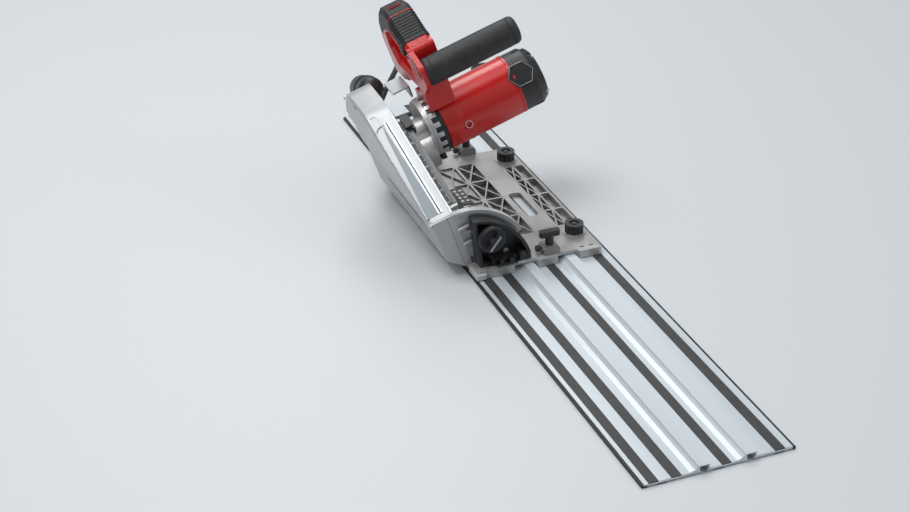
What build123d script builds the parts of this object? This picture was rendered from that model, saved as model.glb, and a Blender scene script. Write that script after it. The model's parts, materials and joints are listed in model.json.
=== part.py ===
from build123d import *
import os
from math import acos, atan2, cos, degrees, pi, radians, sin, sqrt, tan

# Plunge saw standing on its guide rail.  Millimetres.
# Row frame: X across the rail (motor side positive), Y along the rail, Z up,
# origin in the middle of the rail's underside.
# Saw frame: U out of the blade towards the motor, Y along the rail, W up from the bevel axis.
# The saw frame is upright (U = X, W = Z) until tilted() leans it over to the bevel it is set to.

# ---------------------------------------------------------------- driving dimensions
RAIL_LENGTH = 1000.0
RAIL_HALF_WIDTH = 95.0
RAIL_FOOT = 1.5            # height of the plate above the surface, on its anti-slip strips
RAIL_DECK = 4.5            # top of the plate
GLIDE_TOP = 5.0            # top of the glide strips
RIB_TOP = 10.5
RIB_WIDTH = 13.5
RIB_FLANK = 10.5           # run of the sloped flank on the left of a rib
RIB_LEFT = (-26.0, 32.0)
SLOT_MOUTH = 7.0
RIB_WALL = 1.5

BASE_UNDERSIDE = 5.2
BASE_TOP = 16.0
BASE_LEFT, BASE_RIGHT = -79.0, 83.0
BASE_FRONT, BASE_REAR = -30.0, 285.0
CHANNEL_TOP = 11.6         # roof of the channels that pass over the ribs

BEVEL_X = -96.0            # bevel axis: along Y, at the height of the rail's underside
BEVEL_REST = 18.0          # bevel that the saw is set to

BLADE_RADIUS = 80.0
BLADE_PLATE = 1.8
BLADE_CENTRE = (167.0, 90.0)      # (y, w) of the arbor, head raised
PIVOT = (268.0, 48.0)             # (y, w) of the plunge pivot
GEAR_MODULE = 1.0
GEAR_TEETH, PINION_TEETH = 44, 10
GEAR_CENTRES = GEAR_MODULE * (GEAR_TEETH + PINION_TEETH) / 2
PLUNGE_ANGLE = 31.4
MOTOR_CENTRE = (BLADE_CENTRE[0] + GEAR_CENTRES * sin(radians(PLUNGE_ANGLE)),
                BLADE_CENTRE[1] + GEAR_CENTRES * cos(radians(PLUNGE_ANGLE)))
MOTOR_RADIUS = 42.5
MOTOR_FACET = 40.0         # distance of the flat on the motor's low side
MOTOR_FRONT, MOTOR_REAR, CAP_END = 72.0, 185.0, 222.0

GUARD_OUTER, GUARD_SEAM, GUARD_INNER = -18.0, 2.0, 12.0
GUARD_PROUD = -23.0        # upper part of the outer cover
GUARD_WALL = 2.3
QUADRANT_RADIUS = 92.0
CLAMP_ORBIT = 63.0         # radius of the bevel slots about the bevel axis
CLAMP_WORLD_ANGLE = 67.0
STUD_RADIUS = 4.0

HANDLE_U = 80.0
HANDLE_HALF = 18.5
HANDLE_BEVEL, CORE_BEVEL = 5.0, 3.0   # edges of the grip, and of its core under the sleeve
HANDLE_SKIN = 2.5          # thickness of the rubber sleeve on the grip
HANDLE_FOOT = 164.0        # the motor housing carries the grip's foot up to this y
HANDLE_STEP = 246.0        # and up to this height
AUX_CENTRE = (130.0, 218.0)
AUX_RADIUS = 19.0
AUX_LEFT, AUX_RIGHT = 68.2, 202.0
AUX_STUD = 6.0             # radius of the stud that holds the front grip
PORT_CENTRE = (15.0, 252.0, 163.0)    # (u, y, w) of the dust elbow's ball
PORT_RADIUS = 18.0
PORT_BORE = 16.1           # bore at the mouth, for a hose cuff
PORT_THROAT = 14.9         # narrower bore behind it
PORT_START, PORT_END = 32.0, 62.0     # the mouth's bore along the port's axis
PORT_FALL = 22.0           # slope of the dust port towards the rear

CORD_DIAMETER = 7.6
COIL_CENTRE = (156.0, 494.0)
COIL_MID_RADIUS = 45.5
COIL_BAND = 11.4           # half the width of the coil's section: three turns by three
COIL_LIFT = 1.2            # thickness of the tie that passes under the coil
PLUG_X, PLUG_BACK = 123.5, 499.5
PLUG_HALF_HEIGHT = 10.0

FIT = 0.05                 # radial running clearance
GAP = 0.3                  # clearance between faces of different moving bodies


# ---------------------------------------------------------------- helpers
def block(x0, x1, y0, y1, z0, z1):
    return Pos((x0 + x1) / 2, (y0 + y1) / 2, (z0 + z1) / 2) * Box(x1 - x0, y1 - y0, z1 - z0)


def rod_x(radius, x0, x1, y, z):
    return Pos((x0 + x1) / 2, y, z) * Rot(0, 90, 0) * Cylinder(radius, x1 - x0)


def rod_y(radius, y0, y1, x, z):
    return Pos(x, (y0 + y1) / 2, z) * Rot(90, 0, 0) * Cylinder(radius, y1 - y0)


def rod_z(radius, z0, z1, x, y):
    return Pos(x, y, (z0 + z1) / 2) * Cylinder(radius, z1 - z0)


def outline(points, radii=None):
    """Flat outline; corner number i is rounded to radii[i]."""
    sketch = make_face(Polyline(*points, close=True))
    for point, radius in zip(points, radii or []):
        if radius:
            corner = sketch.vertices().sort_by_distance((point[0], point[1], 0))[0]
            sketch = fillet(corner, radius)
    return sketch


def side_plate(sketch, x0, x1):
    """Outline in (y, z), extruded along X."""
    return Pos(x0, 0, 0) * extrude(Plane.YZ * sketch, amount=x1 - x0)


def front_plate(sketch, y0, y1):
    """Outline in (x, z), extruded along Y."""
    return Pos(0, y1, 0) * extrude(Plane.XZ * sketch, amount=y1 - y0)


def flat_plate(sketch, z0, z1):
    return Pos(0, 0, z0) * extrude(sketch, amount=z1 - z0)


def tilted(part):
    return Pos(BEVEL_X, 0, 0) * Rot(0, -BEVEL_REST, 0) * part


def polar(radius, angle):
    return radius * cos(radians(angle)), radius * sin(radians(angle))


def save(name, *parts, lean=False):
    whole = Compound(children=[s for part in parts for s in part.solids()])
    if lean:
        whole = tilted(whole)
    solids = whole.solids()
    export_step(solids[0] if len(solids) == 1 else Compound(children=list(solids)), f"parts/{name}.step")


# ---------------------------------------------------------------- guide rail
GLIDE_STRIPS = ((-86.6, -74.5), (-59.2, -46.7), (2.4, 14.3), (68.6, 81.5))


def rail_extrusion():
    half = RAIL_LENGTH / 2
    body = block(-92, 91, -half, half, RAIL_FOOT, RAIL_DECK)
    for left in RIB_LEFT:
        points = [(left - RIB_FLANK, RAIL_DECK - 0.5), (left - RIB_FLANK, RAIL_DECK), (left - 4.5, 6.4),
                  (left - 1.5, 8.6), (left, RIB_TOP), (left + RIB_WIDTH, RIB_TOP),
                  (left + RIB_WIDTH, RAIL_DECK - 0.5)]
        body += front_plate(outline(points), -half, half)
        body -= block(left + RIB_WALL, left + RIB_WIDTH - RIB_WALL, -half - 1, half + 1,
                      RAIL_FOOT + RIB_WALL, RIB_TOP - RIB_WALL)
        middle = left + RIB_WIDTH / 2
        body -= block(middle - SLOT_MOUTH / 2, middle + SLOT_MOUTH / 2, -half - 1, half + 1, 0, RAIL_FOOT + 2)
    for left, right in GLIDE_STRIPS:
        body -= block(left, right, -half - 1, half + 1, RAIL_DECK - 0.8, RAIL_DECK + 1)
    body -= block(-93, -88, -half - 1, half + 1, 0, RAIL_FOOT + 1.0)
    return body


def glide_strips():
    half = RAIL_LENGTH / 2
    return [block(left, right, -half, half, RAIL_DECK - 0.8, GLIDE_TOP) for left, right in GLIDE_STRIPS]


def edge_strips():
    """Splinter guard along the blade side and the rounded lip along the other edge."""
    half = RAIL_LENGTH / 2
    edge = RAIL_HALF_WIDTH
    splinter_guard = outline([(-edge, 0), (-88, 0), (-88, 2.5), (-92, 2.5), (-92, 3.6), (-edge, 3.0)])
    lip = outline([(91, 0), (93.5, 0), (edge, 1.5), (edge, 3), (93.5, 4.5), (91, 4.5)])
    return [front_plate(splinter_guard, -half, half), front_plate(lip, -half, half)]


def anti_slip_strips():
    half = RAIL_LENGTH / 2
    return [block(x - 6, x + 6, -half, half, 0, RAIL_FOOT) for x in (-70, 0, 75)]


# ---------------------------------------------------------------- base plate
GUIDE_KNOBS = ((65.0, 20.0), (65.0, 251.0))
CAM_RADIUS, CAM_THROW = 18.2, 0.7
FENCE_SCREWS = ((14.0, -14.0), (21.0, 293.0))


def cross_ribs(x0, x1, y0, y1, thickness=2.2):
    """The two diagonals of a rectangle, as thin bars."""
    length = sqrt((x1 - x0) ** 2 + (y1 - y0) ** 2)
    turn = degrees(atan2(y1 - y0, x1 - x0))
    bar = Rectangle(length, thickness)
    centre = Pos((x0 + x1) / 2, (y0 + y1) / 2)
    return centre * Rot(0, 0, turn) * bar + centre * Rot(0, 0, -turn) * bar


def pocket(x0, x1, y0, y1, floor, crossed=True):
    """A rounded recess open at the top, with diagonal ribs left standing in it."""
    cell = Pos((x0 + x1) / 2, (y0 + y1) / 2) * RectangleRounded(x1 - x0, y1 - y0, 2.5)
    if crossed:
        cell -= cross_ribs(x0, x1, y0, y1)
    return flat_plate(cell, floor, BASE_TOP + 1)


def base_plate():
    edge = outline([(-93, BASE_FRONT), (-42, BASE_FRONT), (-39, -24), (-11, -24), (-8, BASE_FRONT),
                    (19, BASE_FRONT), (22, -24), (48, -24), (51, BASE_FRONT),
                    (BASE_RIGHT, BASE_FRONT), (BASE_RIGHT, BASE_REAR),
                    (36, BASE_REAR), (36, 306), (BASE_LEFT, 306), (BASE_LEFT, -3), (-93, -3)],
                   [3, 2, 2, 2, 2, 2, 2, 2, 2, 5, 8, 0, 4, 4, 0, 0])
    plate = flat_plate(edge, BASE_UNDERSIDE, BASE_TOP)
    for left in RIB_LEFT:
        plate -= block(left - RIB_FLANK - 2, left + RIB_WIDTH + 2, BASE_FRONT - 1, 307, 0, CHANNEL_TOP)
    plate -= block(BASE_LEFT - 1, -43, 128, 200, 0, 20)                      # room for the gear case
    window = Pos(34, 117) * RectangleRounded(18, 70, 5)
    plate -= flat_plate(window, 0, 20)
    for y0, y1 in ((14, 66), (69, 124), (203, 243), (246, 276)):
        plate -= pocket(-72, -42, y0, y1, 8.0)
    for y0, y1 in ((40, 92), (95, 147), (150, 202), (205, 257)):
        plate -= pocket(-36, -12, y0, y1, CHANNEL_TOP + 1.4)
        plate -= pocket(-8.5, 17, y0, y1, 8.0)
    for y0, y1 in ((44, 88), (91, 135), (138, 182), (185, 226)):
        plate -= pocket(52, 64, y0, y1, 8.0)
        plate -= pocket(67, 79, y0, y1, 8.0, crossed=False)
    for x, y in GUIDE_KNOBS:
        plate += rod_z(16, BASE_TOP - 1, BASE_TOP + 1, x, y)
        plate -= rod_z(4 + FIT, 0, 30, x, y)
        plate -= rod_z(CAM_RADIUS + CAM_THROW + 0.6, 0, CHANNEL_TOP, x, y)
    for x in (-70.0, -30.0):
        plate += block(x - 5, x + 5, -27, -24, BASE_TOP - 1, BASE_TOP + 2)
    return plate


def bracket_sector(radius, left_foot, left_top, floor):
    """Sector about the bevel axis, cut off by the floor and by its left side."""
    def height(x):
        return sqrt(radius ** 2 - (x - BEVEL_X) ** 2)

    right = (BEVEL_X + sqrt(radius ** 2 - floor ** 2), floor)
    middle = (BEVEL_X + radius * cos(radians(56)), radius * sin(radians(56)))
    left = (left_top, height(left_top))
    return make_face([Line((left_foot, floor), right), ThreePointArc(right, middle, left),
                      Line(left, (left_foot, floor))])


def bevel_bracket(front):
    """Fixed quarter bracket that the tilting quadrant is clamped to."""
    plate_y = (-5.0, -1.0) if front else (293.0, 297.0)
    rim_y = (-20.0, -1.0) if front else (293.0, 306.0)
    radius, rim_width = 84.0, 3.5
    left_foot, left_top = (BEVEL_X + 11.0, BEVEL_X + 3.0) if front else (BASE_LEFT, BASE_LEFT)
    shape = bracket_sector(radius, left_foot, left_top, BASE_TOP)
    plate = front_plate(shape, *plate_y)
    hollow = bracket_sector(radius - rim_width, left_foot + 4, left_top + 4, BASE_TOP + 5)
    rim = front_plate(shape, *rim_y) - front_plate(hollow, rim_y[0] - 1, rim_y[1] + 1)
    bracket = plate + rim
    bolt_x = BEVEL_X + CLAMP_ORBIT * cos(radians(CLAMP_WORLD_ANGLE))
    bolt_z = CLAMP_ORBIT * sin(radians(CLAMP_WORLD_ANGLE))
    bracket += rod_y(9, min(rim_y[0] + 6, plate_y[0]), max(rim_y[1] - 6, plate_y[1]), bolt_x, bolt_z)
    bracket -= rod_y(STUD_RADIUS, rim_y[0] - 5, rim_y[1] + 5, bolt_x, bolt_z)
    if front:
        bracket += block(-70, -30, -26, -5, BASE_TOP, BASE_TOP + 9)
        for x in (-64, -50, -36):
            bracket -= block(x - 4, x + 4, -27, -20, BASE_TOP + 3, BASE_TOP + 10)
        bracket += rod_y(5.5, -24, -5, -27, BASE_TOP + 9)
    return bracket


def bevel_studs():
    x = BEVEL_X + CLAMP_ORBIT * cos(radians(CLAMP_WORLD_ANGLE))
    z = CLAMP_ORBIT * sin(radians(CLAMP_WORLD_ANGLE))
    front = rod_y(STUD_RADIUS, -34, 12, x, z) + rod_y(8.0, 8.4, 12, x, z)
    rear = rod_y(STUD_RADIUS, 282, 318, x, z) + rod_y(8.0, 282, 284.7, x, z)
    return [front, rear]


def bevel_knob(front):
    """Clamping knob with a raised grip bar, running on the bevel stud."""
    x = BEVEL_X + CLAMP_ORBIT * cos(radians(CLAMP_WORLD_ANGLE))
    z = CLAMP_ORBIT * sin(radians(CLAMP_WORLD_ANGLE))
    near, far = (-21.0, -30.0) if front else (307.0, 315.0)
    tip = -41.0 if front else 325.0
    body = rod_y(18.0, min(near, far), max(near, far), x, z)
    body = chamfer(body.edges().filter_by(GeomType.CIRCLE).sort_by(Axis.Y)[0 if front else -1], 1.5)
    bar = Pos(x, (far + tip) / 2, z) * Rot(0, 55, 0) * Box(33, abs(tip - far) + 1, 9.5)
    bar = fillet(bar.edges().filter_by(Axis.Y), 4.0)
    knob = body + bar
    return knob - rod_y(STUD_RADIUS + FIT, min(near, far) - 6, max(near, far) + 6, x, z)


def guide_knob(x, y):
    """Fluted thumb wheel whose eccentric foot bears on the rail's rib."""
    head = rod_z(12.5, BASE_TOP + 1.5, BASE_TOP + 14, x, y)
    for index in range(12):
        dx, dy = polar(13.3, index * 30)
        head -= rod_z(2.2, BASE_TOP, BASE_TOP + 11, x + dx, y + dy)
    head -= rod_z(6.5, BASE_TOP + 12, BASE_TOP + 15, x, y)
    head += rod_z(3.5, BASE_TOP + 11, BASE_TOP + 13.4, x, y)
    shaft = rod_z(4.0, 6.2, BASE_TOP + 3, x, y)
    return head + shaft + rod_z(CAM_RADIUS, 6.2, 11.0, x, y + CAM_THROW)


def fence_bracket(x, y):
    """Bridge over the slot for a fence bar, threaded for the clamp screw."""
    bridge = block(x - 11, x + 11, y - 10, y + 10, BASE_TOP, BASE_TOP + 11)
    bridge = chamfer(bridge.edges().filter_by(Axis.Y).group_by(Axis.Z)[-1], 3)
    bridge -= block(x - 12, x + 12, y - 7, y + 7, BASE_TOP - 1, BASE_TOP + 3.8)
    return bridge - rod_z(3.0 + FIT, BASE_TOP, BASE_TOP + 12, x, y)


def fence_screw(x, y):
    """T-handled clamp screw."""
    shank = rod_z(3.0, BASE_TOP + 5, BASE_TOP + 16, x, y)
    post = rod_z(5.5, BASE_TOP + 12, BASE_TOP + 26, x, y)
    bar = block(x - 14, x + 14, y - 4.5, y + 4.5, BASE_TOP + 23, BASE_TOP + 31)
    bar = fillet(bar.edges().filter_by(Axis.Z), 3.5)
    return shank + post + bar


def cut_indicator():
    """Clear tongue at the nose that shows where the blade cuts."""
    tongue = outline([(-93, -30), (-82, -30), (-82, -34), (-95, -34), (-95, -6), (-93, -6)])
    return flat_plate(tongue, BASE_UNDERSIDE + 1, BASE_TOP - 3)


# ---------------------------------------------------------------- blade guard
GUARD_CORNERS = [(0, 12), (0, 92), (164, 185), (232, 190), (286, 132), (254, 118), (254, 12)]
GUARD_ROUNDING = [0, 3, 70, 45, 12, 8, 10]
INNER_CORNERS = [(0, 12), (0, 92), (164, 185), (232, 190), (286, 132), (270, 100), (291, 88), (291, 12)]
INNER_ROUNDING = [0, 3, 70, 45, 12, 8, 4, 8]


def port_axis():
    """Direction of the dust port in the saw frame."""
    return Vector(0, cos(radians(PORT_FALL)), -sin(radians(PORT_FALL)))


def port_tube(radius, start, end):
    """Cylinder about the dust port's axis, from start to end along it."""
    along = port_axis()
    base = Vector(*PORT_CENTRE) + along * start
    return extrude(Plane(origin=base, z_dir=along) * Circle(radius), amount=end - start)


def port_ball(radius):
    return Pos(*PORT_CENTRE) * Sphere(radius)


def inset(sketch, distance):
    return offset(sketch, -distance)


def guard_outer():
    face = outline(GUARD_CORNERS, GUARD_ROUNDING)
    shell = side_plate(face, GUARD_OUTER, GUARD_SEAM)
    cut_corner = outline([(GUARD_OUTER - 1, 0), (6, 0), (6, 10.5), (1.0, 12.0), (GUARD_OUTER - 1, 32.0)])
    proud = outline([(4, 84), (4, 92), (164, 185), (232, 190), (286, 132), (256, 124), (246, 104)],
                    [0, 3, 70, 45, 12, 6, 14])
    raised = side_plate(proud, GUARD_PROUD, GUARD_OUTER + 1)
    shoulder = raised.edges().group_by(Axis.X)[0]
    raised = chamfer(shoulder, 3.0)
    shell += raised
    shell -= front_plate(cut_corner, -1, 300)
    hollow = side_plate(inset(face, GUARD_WALL), GUARD_OUTER + GUARD_WALL, GUARD_SEAM + 1)
    bottom = block(GUARD_OUTER + GUARD_WALL + 3, GUARD_SEAM + 1, 70, 251.5, 0, 40)
    shell -= hollow - front_plate(outline([(GUARD_OUTER - 1, 0), (6, 0), (6, 12.5), (1.0, 14.5),
                                           (GUARD_OUTER + 2, 33.0), (GUARD_OUTER - 1, 36.0)]), -1, 300)
    shell -= bottom
    groove = outline([(60, 58), (190, 62), (190, 67), (60, 66)])
    shell -= side_plate(groove, GUARD_OUTER - 1, GUARD_OUTER + 1.2)
    shell -= panel_recess()
    shell -= port_ball(PORT_RADIUS + 0.15) + port_tube(PORT_RADIUS + 0.15, 0, 90)
    return shell


def panel_recess():
    """Long shallow recess in the sloping top face."""
    slope = degrees(atan2(185 - 92, 164))
    strip = Pos(-13.5, 0, 0) * RectangleRounded(10, 150, 2.5)
    plane = Plane(origin=(0, 90, 92 + 90 * tan(radians(slope)) - 1.0), x_dir=(1, 0, 0),
                  z_dir=(0, -sin(radians(slope)), cos(radians(slope))))
    return extrude(plane * strip, amount=10)


def guard_inner():
    face = outline(INNER_CORNERS, INNER_ROUNDING)
    shell = side_plate(face, GUARD_SEAM, GUARD_INNER)
    hollow = side_plate(inset(face, GUARD_WALL), GUARD_SEAM - 1, GUARD_INNER - GUARD_WALL)
    shell -= hollow - block(0, 20, 256, 300, 0, 100)
    shell -= block(GUARD_SEAM - 1, GUARD_INNER - GUARD_WALL, 70, 251.5, 0, 40)
    shell += rod_x(15, GUARD_SEAM + 0.2, GUARD_INNER, *PIVOT)
    shell -= rod_x(6.0, 0, 20, *PIVOT)
    shell -= arbor_sweep(20.0, GUARD_INNER - GUARD_WALL - 1, GUARD_INNER + 1)
    slope = degrees(atan2(185 - 92, 164))
    plane = Plane(origin=(GUARD_INNER - 1, 0, 92 - 9.0), x_dir=(0, cos(radians(slope)), sin(radians(slope))),
                  z_dir=(1, 0, 0))
    shell += extrude(plane * Pos(90, 0) * Rectangle(150, 8), amount=13)
    shell -= port_ball(PORT_RADIUS + 0.15) + port_tube(PORT_RADIUS + 0.15, 0, 90)
    return shell


def arbor_sweep(radius, x0, x1):
    """Slot that the arbor's hub runs through as the head plunges."""
    reach = sqrt((BLADE_CENTRE[0] - PIVOT[0]) ** 2 + (BLADE_CENTRE[1] - PIVOT[1]) ** 2)
    start = degrees(atan2(BLADE_CENTRE[1] - PIVOT[1], BLADE_CENTRE[0] - PIVOT[0]))
    cutter = None
    for step in range(9):
        angle = start - 1 + step * (PLUNGE_ANGLE + 2) / 8
        y, w = PIVOT[0] + reach * cos(radians(angle)), PIVOT[1] + reach * sin(radians(angle))
        hole = rod_x(radius, x0, x1, y, w)
        cutter = hole if cutter is None else cutter + hole
    return cutter


def quadrant(y0, y1):
    """Sector plate with the curved clamping slot, on the bevel axis."""
    low = 14.0
    side = GUARD_INNER + 0.1
    high = degrees(acos(side / QUADRANT_RADIUS))
    a, b = polar(QUADRANT_RADIUS, low), polar(QUADRANT_RADIUS, high)
    foot = (a[0] - 3, 20.0)
    sector = make_face([Line((side, 20.0), foot), Line(foot, a),
                        ThreePointArc(a, polar(QUADRANT_RADIUS, (low + high) / 2), b), Line(b, (side, 20.0))])
    slot_from, slot_to = CLAMP_WORLD_ANGLE - 45 - 0.5, CLAMP_WORLD_ANGLE + 0.5
    orbit = CenterArc((0, 0), CLAMP_ORBIT, slot_from, slot_to - slot_from)
    return front_plate(sector - SlotArc(orbit, 2 * (STUD_RADIUS + GAP)), y0, y1)


def front_quadrant():
    return quadrant(2.0, 7.0) + quadrant_flange(-1.0, 3.0)


def quadrant_flange(y0, y1):
    """Raised rim along the arc, outside the fixed bracket's cover."""
    rim, inner = QUADRANT_RADIUS - 0.4, QUADRANT_RADIUS - 5
    a, b = polar(rim, 16), polar(rim, 82)
    c, d = polar(inner, 16), polar(inner, 82)
    band = make_face([ThreePointArc(a, polar(rim, 50), b), Line(b, d),
                      ThreePointArc(d, polar(inner, 50), c), Line(c, a)])
    return front_plate(band, y0, y1)


def rim_plane(u, offset_w):
    """Plane lying along the guard's straight rim; local x runs up the slope."""
    slope = atan2(185 - 92, 164)
    return Plane(origin=(u, 0, 92 + offset_w), x_dir=(0, cos(slope), sin(slope)),
                 z_dir=(0, -sin(slope), cos(slope)))


def depth_scale():
    return extrude(rim_plane(16.2, -4.6) * Pos(88, 0) * Rectangle(142, 6.8), amount=1.4)


def depth_rack():
    body = extrude(rim_plane(22.2, -4.6) * Pos(88, 0) * Rectangle(142, 4.8), amount=1.6)
    for index in range(35):
        body -= extrude(rim_plane(22.2, -2.9) * Pos(21 + index * 4, 0) * Rectangle(1.8, 6), amount=1.6)
    return body


def depth_stop():
    """Stop block that straddles the ledge and rides along the rim."""
    start = 150.0
    cap = extrude(rim_plane(22.0, -1.9) * Pos(start, 0) * Rectangle(20, 11.0), amount=7.0)
    skirt = extrude(rim_plane(27.0, -12.0) * Pos(start, 0) * Rectangle(20, 3.0), amount=15.0)
    return cap + skirt


def plunge_pin():
    shaft = rod_x(6.0, GUARD_SEAM + 1, 48, *PIVOT)
    return shaft + rod_x(10.0, 46, 49, *PIVOT)


def plunge_spring():
    """Torsion spring round the plunge pin, as a stack of closed turns."""
    return [Pos(33 + index * 2.2, *PIVOT) * Rot(0, 90, 0) * Torus(8.6, 1.0) for index in range(5)]


def dust_port():
    solid = port_ball(PORT_RADIUS) + port_tube(PORT_RADIUS, 0, PORT_END)
    bore = port_ball(PORT_THROAT) + port_tube(PORT_THROAT, 0, PORT_START + 1)
    bore += port_tube(PORT_BORE, PORT_START, PORT_END + 1)
    towards_blade = Vector(-0.35, -0.62, -0.70).normalized()
    mouth = extrude(Plane(origin=Vector(*PORT_CENTRE), z_dir=towards_blade) * Circle(9.0), amount=26)
    collar = port_tube(PORT_RADIUS + 1.2, 24, 27)
    return solid + collar - bore - mouth


def guard_screws():
    spots = ((30, 70), (120, 142), (215, 175), (246, 118), (20, 24))
    heads = [rod_x(3.4, GUARD_INNER + 0.01, GUARD_INNER + 3, y, w) for y, w in spots]
    return heads


# ---------------------------------------------------------------- drive
def involute_gear(teeth, shift, tip_radius, root_radius, phase):
    """Outline of an involute gear with a tooth centred on the given phase angle."""
    pitch_radius = GEAR_MODULE * teeth / 2
    pressure = radians(20)
    base_radius = pitch_radius * cos(pressure)
    thickness = GEAR_MODULE * (pi / 2 + 2 * shift * tan(pressure)) - 0.14

    def half_angle(radius):
        inner = max(radius, base_radius)
        local = acos(base_radius / inner)
        return thickness / (2 * pitch_radius) + (tan(pressure) - pressure) - (tan(local) - local)

    radii = [root_radius, max(root_radius + 0.2, base_radius), (base_radius + tip_radius) / 2, tip_radius]
    points = []
    for tooth in range(teeth):
        centre = radians(phase) + 2 * pi * tooth / teeth
        for radius in radii:
            angle = centre - half_angle(radius)
            points.append((radius * cos(angle), radius * sin(angle)))
        for radius in reversed(radii):
            angle = centre + half_angle(radius)
            points.append((radius * cos(angle), radius * sin(angle)))
    return make_face(Polyline(*points, close=True))


MESH_ANGLE = degrees(atan2(MOTOR_CENTRE[1] - BLADE_CENTRE[1], MOTOR_CENTRE[0] - BLADE_CENTRE[0]))
PROFILE_SHIFT = 0.4
LOCK_PIN_RADIUS = 2.5
LOCK_BUTTON_RADIUS = 5.0


def lock_spot(turn=0.0):
    """Centre of a hole that the spindle lock's pin drops into; the first is opposite the motor."""
    dy, dw = polar(16.0, MESH_ANGLE + 180 + turn)
    return BLADE_CENTRE[0] + dy, BLADE_CENTRE[1] + dw


def driven_gear():
    pitch = GEAR_MODULE * GEAR_TEETH / 2
    face = involute_gear(GEAR_TEETH, -PROFILE_SHIFT, pitch + 0.6, pitch - 1.65, MESH_ANGLE)
    gear = Pos(0, *BLADE_CENTRE) * side_plate(face, 28, 38)
    for index in range(6):
        gear -= rod_x(LOCK_PIN_RADIUS + 0.4, 27, 39, *lock_spot(index * 60))
    return gear - rod_x(7.0, 27, 39, *BLADE_CENTRE)


def arbor():
    """Stepped spindle: blade seat, flange shoulder, bearing seats and gear seat."""
    y, w = BLADE_CENTRE
    spindle = rod_x(10.0, -2.2, 0.0, y, w) + rod_x(9.0, 0.0, 14.0, y, w) + rod_x(7.5, 14.0, 25.0, y, w)
    spindle += rod_x(9.0, 25.0, 27.5, y, w) + rod_x(7.0, 27.5, 40.5, y, w) + rod_x(4.0, 40.5, 48.5, y, w)
    return spindle - rod_x(4.0, -3, 14, y, w)


def saw_blade():
    """Toothed disc with four expansion slots."""
    teeth = 24
    points = []
    for tooth in range(teeth):
        angle = 360.0 * tooth / teeth
        for depth, step in ((0.0, 0.0), (1.2, 4.6), (9.5, 11.0), (8.5, 13.2)):
            points.append(polar(BLADE_RADIUS - depth, angle + step))
    disc = make_face(Polyline(*points, close=True)) - Circle(10.0 + 0.02)
    for index in range(4):
        slot = Pos(BLADE_RADIUS - 20, 0) * Rectangle(24, 1.4)
        eye = Pos(BLADE_RADIUS - 33, 0) * Circle(2.6)
        disc -= Rot(0, 0, index * 90 + 11.8) * slot + Rot(0, 0, index * 90 + 11.8) * eye
    return Pos(0, *BLADE_CENTRE) * side_plate(disc, -2.2, -2.2 + BLADE_PLATE)


def inner_flange():
    y, w = BLADE_CENTRE
    return rod_x(19.0, -0.4, 4.6, y, w) - rod_x(15.0, -0.5, 0.6, y, w) - rod_x(9.0, -1, 6, y, w)


def outer_flange():
    y, w = BLADE_CENTRE
    return rod_x(19.0, -5.6, -2.2, y, w) - rod_x(15.0, -2.8, -2.1, y, w) - rod_x(4.0, -7, 0, y, w)


def blade_bolt():
    y, w = BLADE_CENTRE
    head = Pos(-10.4, y, w) * Rot(0, 90, 0) * extrude(RegularPolygon(7.2, 6), amount=4.8)
    return head + rod_x(4.0, -6, 12, y, w) - rod_x(2.9, -11, -7, y, w)


def ring_x(outer, inner, x0, x1, centre):
    return rod_x(outer, x0, x1, *centre) - rod_x(inner, x0 - 1, x1 + 1, *centre)


def arbor_bearings():
    """Rolling bearings of the arbor, each as one ring; the shaft runs in the bore."""
    return [ring_x(17.5, 7.5 + FIT, 14.2, 24.8, BLADE_CENTRE),
            ring_x(11.0, 4.0 + FIT, 41.0, 48.0, BLADE_CENTRE)]


def rotor():
    y, w = MOTOR_CENTRE
    shaft = rod_x(5.0, 45.0, 60.5, y, w) + rod_x(6.5, 60.5, 68, y, w) + rod_x(5.0, 68, 190, y, w)
    shaft += rod_x(4.0, 190, 200, y, w)
    core = rod_x(23.0, 88, 138, y, w)
    for index in range(12):
        dy, dw = polar(22.0, index * 30)
        core -= rod_x(1.6, 87, 139, y + dy, w + dw)
    windings = rod_x(18.0, 80, 146, y, w)
    return shaft + core + windings


def pinion():
    pitch = GEAR_MODULE * PINION_TEETH / 2
    face = involute_gear(PINION_TEETH, PROFILE_SHIFT, pitch + 1.25, pitch - 0.9,
                         MESH_ANGLE + 180 + 180 / PINION_TEETH)
    return Pos(0, *MOTOR_CENTRE) * side_plate(face, 27.5, 45.0)


def cooling_fan():
    y, w = MOTOR_CENTRE
    fan = ring_x(34.0, 6.5, 68.5, 70.5, MOTOR_CENTRE) + ring_x(10.0, 5.0, 70.5, 79.0, MOTOR_CENTRE)
    for index in range(13):
        blade = Pos(74.5, y, w) * Rot(index * 360 / 13, 0, 0) * Pos(0, 21.5, 0) * Box(8.5, 24, 1.4)
        fan += blade
    return fan - rod_x(6.5, 60, 68.5, y, w) - rod_x(5.0, 68, 80, y, w)


def commutator():
    ring = ring_x(13.0, 5.0, 150, 170, MOTOR_CENTRE)
    for index in range(24):
        dy, dw = polar(13.0, index * 15)
        ring -= rod_x(0.35, 151, 171, MOTOR_CENTRE[0] + dy, MOTOR_CENTRE[1] + dw)
    return ring


def motor_bearings():
    return [ring_x(14.0, 5.0 + FIT, 50.0, 60.0, MOTOR_CENTRE),
            ring_x(11.0, 4.0 + FIT, 192.0, 199.0, MOTOR_CENTRE)]


def motor_section(radius, facet):
    """Round section of the motor with the flat on the side that comes lowest in the cut."""
    section = Circle(radius)
    turn = -90 - PLUNGE_ANGLE
    flat = Rot(0, 0, turn) * Pos(facet + 20, 0) * Rectangle(40, 120)
    return section - flat


def motor_body(radius, facet, x0, x1):
    return Pos(0, *MOTOR_CENTRE) * side_plate(motor_section(radius, facet), x0, x1)


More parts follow.
